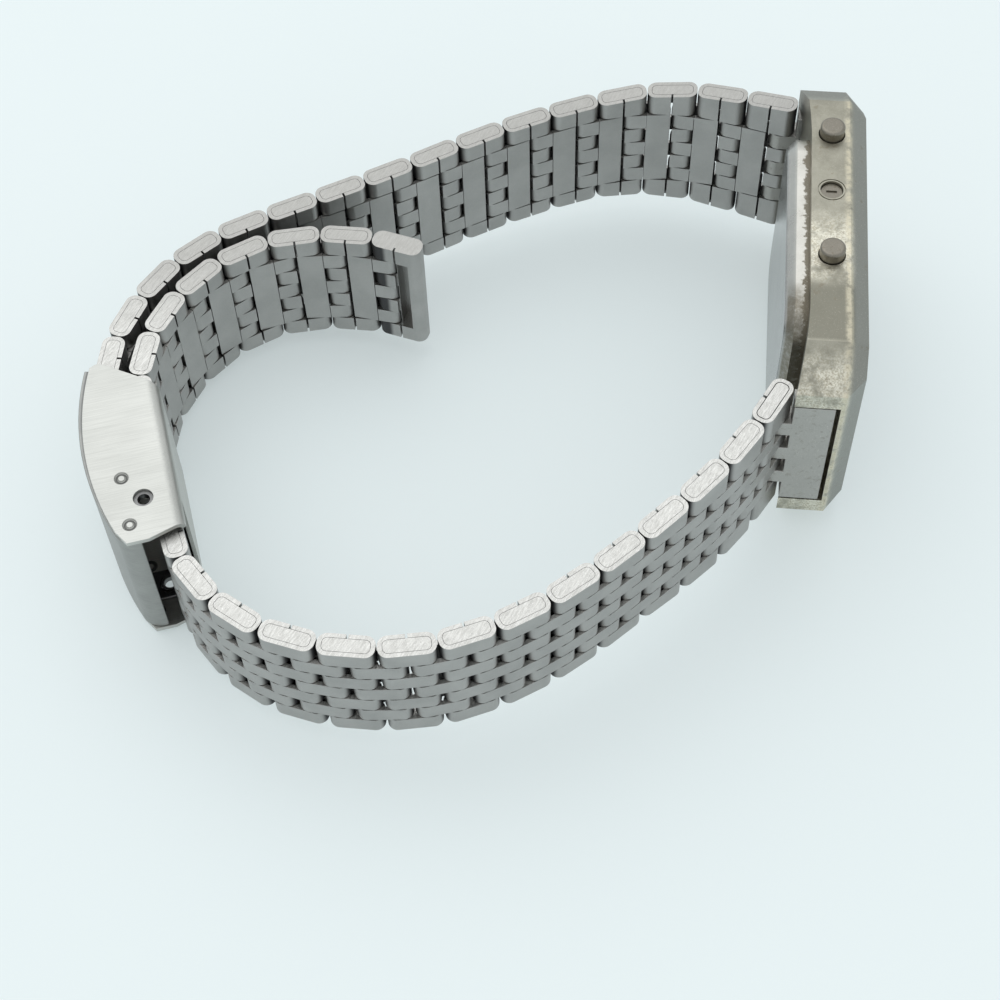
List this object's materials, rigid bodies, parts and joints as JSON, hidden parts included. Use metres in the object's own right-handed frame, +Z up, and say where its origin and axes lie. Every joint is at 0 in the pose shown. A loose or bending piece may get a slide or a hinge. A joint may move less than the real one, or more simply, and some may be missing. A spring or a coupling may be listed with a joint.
{
  "type": "digital wristwatch",
  "caption": "Small digital wristwatch with a long octagonal case, side pushers and a folded-link steel band whose tail slides through a lidded clasp.",
  "frame": {"origin": "centre of the bounding box on the table that the watch lies on", "axes": "+Z up; +X from the clasp to the dial, +Y from the near to the far end of the case"},
  "size_m": [0.0704, 0.0666, 0.0247],
  "materials": {
    "band_steel": "satin with fine grain",
    "end_link_steel": "satin",
    "clasp_steel": "brushed along the clasp",
    "lid_steel": "dull satin",
    "pin_steel": "turned",
    "case_plating": "worn satin nickel",
    "back_steel": "polished edge, brushed face",
    "pusher_steel": "polished",
    "spring_steel": "drawn wire",
    "cell_steel": "nickel-plated",
    "clip_brass": "gold-plated",
    "crystal_glass": "polished",
    "lcd_glass": "polarising film",
    "lamp_glass": "clear",
    "mask_print": "printed",
    "frame_plastic": "moulded",
    "board_laminate": "lacquered",
    "gasket_rubber": "matte",
    "connector_rubber": "matte"
  },
  "bodies": {
    "case": {"case_middle": "case_plating", "crystal": "crystal_glass", "crystal_gasket": "gasket_rubber", "caseback": "back_steel", "caseback_gasket": "gasket_rubber", "display_mask": "mask_print", "lcd_panel": "lcd_glass", "elastomer_connectors": "connector_rubber", "lamp": "lamp_glass", "circuit_board": "board_laminate", "module_frame": "frame_plastic", "battery": "cell_steel", "battery_clip": "clip_brass", "spring_bars": "pin_steel", "side_pusher_1_spring": "spring_steel", "set_pusher_spring": "spring_steel", "side_pusher_2_spring": "spring_steel"},
    "far_end_link": {"far_end_link": "end_link_steel"},
    "fixed_link_01": {"fixed_band_link_01": "band_steel"},
    "fixed_link_02": {"fixed_band_link_02": "band_steel"},
    "fixed_link_03": {"fixed_band_link_03": "band_steel"},
    "fixed_link_04": {"fixed_band_link_04": "band_steel"},
    "fixed_link_05": {"fixed_band_link_05": "band_steel"},
    "fixed_link_06": {"fixed_band_link_06": "band_steel"},
    "fixed_link_07": {"fixed_band_link_07": "band_steel"},
    "fixed_link_08": {"fixed_band_link_08": "band_steel"},
    "fixed_link_09": {"fixed_band_link_09": "band_steel"},
    "fixed_link_10": {"fixed_band_link_10": "band_steel"},
    "fixed_link_11": {"fixed_band_link_11": "band_steel"},
    "fixed_link_12": {"fixed_band_link_12": "band_steel"},
    "fixed_link_13": {"fixed_band_link_13": "band_steel"},
    "fixed_link_14": {"fixed_band_link_14": "band_steel"},
    "fixed_link_15": {"fixed_band_link_15": "band_steel"},
    "fixed_link_16": {"fixed_band_link_16": "band_steel"},
    "clasp": {"clasp_box": "clasp_steel", "clasp_lid_pins": "pin_steel", "clasp_cross_pin": "pin_steel", "band_in_clasp": "band_steel"},
    "clasp_lid": {"clasp_lid": "lid_steel"},
    "sliding_link_01": {"sliding_band_link_01": "band_steel"},
    "sliding_link_02": {"sliding_band_link_02": "band_steel"},
    "sliding_link_03": {"sliding_band_link_03": "band_steel"},
    "sliding_link_04": {"sliding_band_link_04": "band_steel"},
    "sliding_link_05": {"sliding_band_link_05": "band_steel"},
    "sliding_link_06": {"sliding_band_link_06": "band_steel"},
    "near_end_link": {"near_end_link": "end_link_steel"},
    "sliding_link_13": {"sliding_band_link_13": "band_steel"},
    "sliding_link_12": {"sliding_band_link_12": "band_steel"},
    "sliding_link_11": {"sliding_band_link_11": "band_steel"},
    "sliding_link_10": {"sliding_band_link_10": "band_steel"},
    "sliding_link_09": {"sliding_band_link_09": "band_steel"},
    "sliding_link_08": {"sliding_band_link_08": "band_steel"},
    "sliding_link_07": {"sliding_band_link_07": "band_steel"},
    "tail_1": {"tail_section_1": "band_steel"},
    "tail_2": {"tail_section_2": "band_steel"},
    "tail_3": {"tail_section_3": "band_steel"},
    "tail_4": {"tail_section_4": "band_steel"},
    "side_pusher_1": {"side_pusher_1": "pusher_steel"},
    "set_pusher": {"set_pusher": "pusher_steel"},
    "side_pusher_2": {"side_pusher_2": "pusher_steel"}
  },
  "joints": [
    {"name": "far_spring_bar", "type": "hinge", "parent": "case", "child": "far_end_link", "pos_m": [0.03036, 0.03021, 0.01177], "axis": [0.0659, 0, -0.9978], "range_deg": [0, 4]},
    {"name": "fixed_link_01_hinge", "type": "hinge", "parent": "far_end_link", "child": "fixed_link_01", "pos_m": [0.02707, 0.03021, 0.01155], "axis": [0.0659, 0, -0.9978], "range_deg": [0, 4]},
    {"name": "fixed_link_02_hinge", "type": "hinge", "parent": "fixed_link_01", "child": "fixed_link_02", "pos_m": [0.02223, 0.03143, 0.01123], "axis": [0.0659, 0, -0.9978], "range_deg": [0, 5.6]},
    {"name": "fixed_link_03_hinge", "type": "hinge", "parent": "fixed_link_02", "child": "fixed_link_03", "pos_m": [0.01732, 0.03226, 0.0109], "axis": [0.0659, 0, -0.9978], "range_deg": [0, 17.2]},
    {"name": "fixed_link_04_hinge", "type": "hinge", "parent": "fixed_link_03", "child": "fixed_link_04", "pos_m": [0.01235, 0.03192, 0.01058], "axis": [0.0659, 0, -0.9978], "range_deg": [0, 18.2]},
    {"name": "fixed_link_05_hinge", "type": "hinge", "parent": "fixed_link_04", "child": "fixed_link_05", "pos_m": [0.00758, 0.03046, 0.01026], "axis": [0.0659, 0, -0.9978], "range_deg": [0, 13.6]},
    {"name": "fixed_link_06_hinge", "type": "hinge", "parent": "fixed_link_05", "child": "fixed_link_06", "pos_m": [0.00306, 0.02834, 0.00996], "axis": [0.0659, 0, -0.9978], "range_deg": [0, 7.9]},
    {"name": "fixed_link_07_hinge", "type": "hinge", "parent": "fixed_link_06", "child": "fixed_link_07", "pos_m": [-0.0013, 0.02592, 0.00967], "axis": [0.0659, 0, -0.9978], "range_deg": [0, 7.6]},
    {"name": "fixed_link_08_hinge", "type": "hinge", "parent": "fixed_link_07", "child": "fixed_link_08", "pos_m": [-0.00553, 0.02326, 0.00939], "axis": [0.0659, 0, -0.9978], "range_deg": [0, 5.9]},
    {"name": "fixed_link_09_hinge", "type": "hinge", "parent": "fixed_link_08", "child": "fixed_link_09", "pos_m": [-0.0097, 0.02053, 0.00912], "axis": [0.0659, 0, -0.9978], "range_deg": [0, 4]},
    {"name": "fixed_link_10_hinge", "type": "hinge", "parent": "fixed_link_09", "child": "fixed_link_10", "pos_m": [-0.01396, 0.01791, 0.00884], "axis": [0.0659, 0, -0.9978], "range_deg": [0, 4]},
    {"name": "fixed_link_11_hinge", "type": "hinge", "parent": "fixed_link_10", "child": "fixed_link_11", "pos_m": [-0.01825, 0.01536, 0.00855], "axis": [0.0659, 0, -0.9978], "range_deg": [0, 4]},
    {"name": "fixed_link_12_hinge", "type": "hinge", "parent": "fixed_link_11", "child": "fixed_link_12", "pos_m": [-0.02252, 0.01279, 0.00827], "axis": [0.0659, 0, -0.9978], "range_deg": [0, 6.8]},
    {"name": "fixed_link_13_hinge", "type": "hinge", "parent": "fixed_link_12", "child": "fixed_link_13", "pos_m": [-0.02653, 0.00983, 0.00801], "axis": [0.0659, 0, -0.9978], "range_deg": [0, 17.1]},
    {"name": "fixed_link_14_hinge", "type": "hinge", "parent": "fixed_link_13", "child": "fixed_link_14", "pos_m": [-0.02973, 0.00601, 0.00779], "axis": [0.0659, 0, -0.9978], "range_deg": [0, 19]},
    {"name": "fixed_link_15_hinge", "type": "hinge", "parent": "fixed_link_14", "child": "fixed_link_15", "pos_m": [-0.03189, 0.0015, 0.00765], "axis": [0.0659, 0, -0.9978], "range_deg": [0, 16.8]},
    {"name": "fixed_link_16_hinge", "type": "hinge", "parent": "fixed_link_15", "child": "fixed_link_16", "pos_m": [-0.03292, -0.00338, 0.00758], "axis": [0.0659, 0, -0.9978], "range_deg": [0, 20.2]},
    {"name": "clasp_cross_pin_hinge", "type": "hinge", "parent": "fixed_link_16", "child": "clasp", "pos_m": [-0.03251, -0.00835, 0.00761], "axis": [0.0659, 0, -0.9978], "range_deg": [0, 8]},
    {"name": "clasp_lid_hinge", "type": "hinge", "parent": "clasp", "child": "clasp_lid", "pos_m": [-0.02661, -0.01995, 0.008], "axis": [-0.0659, 0, 0.9978], "range_deg": [0, 20]},
    {"name": "sliding_link_01_hinge", "type": "hinge", "parent": "clasp", "child": "sliding_link_01", "pos_m": [-0.0219, -0.02599, 0.00831], "axis": [0.0659, 0, -0.9978], "range_deg": [0, 24]},
    {"name": "sliding_link_02_hinge", "type": "hinge", "parent": "sliding_link_01", "child": "sliding_link_02", "pos_m": [-0.01819, -0.02932, 0.00856], "axis": [0.0659, 0, -0.9978], "range_deg": [0, 20.5]},
    {"name": "sliding_link_03_hinge", "type": "hinge", "parent": "sliding_link_02", "child": "sliding_link_03", "pos_m": [-0.01369, -0.03144, 0.00886], "axis": [0.0659, 0, -0.9978], "range_deg": [0, 21.1]},
    {"name": "sliding_link_04_hinge", "type": "hinge", "parent": "sliding_link_03", "child": "sliding_link_04", "pos_m": [-0.00877, -0.03225, 0.00918], "axis": [0.0659, 0, -0.9978], "range_deg": [0, 16.2]},
    {"name": "sliding_link_05_hinge", "type": "hinge", "parent": "sliding_link_04", "child": "sliding_link_05", "pos_m": [-0.0038, -0.03202, 0.00951], "axis": [0.0659, 0, -0.9978], "range_deg": [0, 15.4]},
    {"name": "sliding_link_06_hinge", "type": "hinge", "parent": "sliding_link_05", "child": "sliding_link_06", "pos_m": [0.00103, -0.03077, 0.00983], "axis": [0.0659, 0, -0.9978], "range_deg": [0, 5.7]},
    {"name": "near_spring_bar", "type": "hinge", "parent": "case", "child": "near_end_link", "pos_m": [0.03036, -0.00469, 0.01177], "axis": [-0.0659, 0, 0.9978], "range_deg": [0, 4]},
    {"name": "sliding_link_13_hinge", "type": "hinge", "parent": "near_end_link", "child": "sliding_link_13", "pos_m": [0.02707, -0.00469, 0.01155], "axis": [-0.0659, 0, 0.9978], "range_deg": [0, 12]},
    {"name": "sliding_link_12_hinge", "type": "hinge", "parent": "sliding_link_13", "child": "sliding_link_12", "pos_m": [0.02589, -0.00689, 0.01147], "axis": [-0.0659, 0, 0.9978], "range_deg": [0, 9.2]},
    {"name": "sliding_link_11_hinge", "type": "hinge", "parent": "sliding_link_12", "child": "sliding_link_11", "pos_m": [0.02323, -0.01112, 0.01129], "axis": [-0.0659, 0, 0.9978], "range_deg": [0, 11]},
    {"name": "sliding_link_10_hinge", "type": "hinge", "parent": "sliding_link_11", "child": "sliding_link_10", "pos_m": [0.02011, -0.01501, 0.01109], "axis": [-0.0659, 0, 0.9978], "range_deg": [0, 7.1]},
    {"name": "sliding_link_09_hinge", "type": "hinge", "parent": "sliding_link_10", "child": "sliding_link_09", "pos_m": [0.01672, -0.01868, 0.01086], "axis": [-0.0659, 0, 0.9978], "range_deg": [0, 5]},
    {"name": "sliding_link_08_hinge", "type": "hinge", "parent": "sliding_link_09", "child": "sliding_link_08", "pos_m": [0.01323, -0.02226, 0.01063], "axis": [-0.0659, 0, 0.9978], "range_deg": [0, 8.2]},
    {"name": "sliding_link_07_hinge", "type": "hinge", "parent": "sliding_link_08", "child": "sliding_link_07", "pos_m": [0.00954, -0.02562, 0.01039], "axis": [-0.0659, 0, 0.9978], "range_deg": [0, 11.6]},
    {"name": "tail_1_hinge", "type": "hinge", "parent": "clasp", "child": "tail_1", "pos_m": [-0.02951, -0.00757, 0.00781], "axis": [0.0659, 0, -0.9978], "range_deg": [0, 10]},
    {"name": "tail_2_hinge", "type": "hinge", "parent": "tail_1", "child": "tail_2", "pos_m": [-0.02853, 0.00221, 0.00787], "axis": [0.0659, 0, -0.9978], "range_deg": [0, 10]},
    {"name": "tail_3_hinge", "type": "hinge", "parent": "tail_2", "child": "tail_3", "pos_m": [-0.02206, 0.00962, 0.0083], "axis": [0.0659, 0, -0.9978], "range_deg": [0, 10]},
    {"name": "tail_4_hinge", "type": "hinge", "parent": "tail_3", "child": "tail_4", "pos_m": [-0.01239, 0.01153, 0.00894], "axis": [0.0659, 0, -0.9978], "range_deg": [0, 10]},
    {"name": "side_pusher_1_press", "type": "slide", "parent": "case", "child": "side_pusher_1", "axis": [0.0659, 0, -0.9978], "range_m": [0, 0.0006], "stiffness_N_per_m": 400, "springref_m": -0.0005, "deforming": ["side_pusher_1_spring"]},
    {"name": "set_pusher_press", "type": "slide", "parent": "case", "child": "set_pusher", "axis": [0.0659, 0, -0.9978], "range_m": [0, 0.0005], "stiffness_N_per_m": 400, "springref_m": -0.0005, "deforming": ["set_pusher_spring"]},
    {"name": "side_pusher_2_press", "type": "slide", "parent": "case", "child": "side_pusher_2", "axis": [0.0659, 0, -0.9978], "range_m": [0, 0.0006], "stiffness_N_per_m": 400, "springref_m": -0.0005, "deforming": ["side_pusher_2_spring"]}
  ]
}
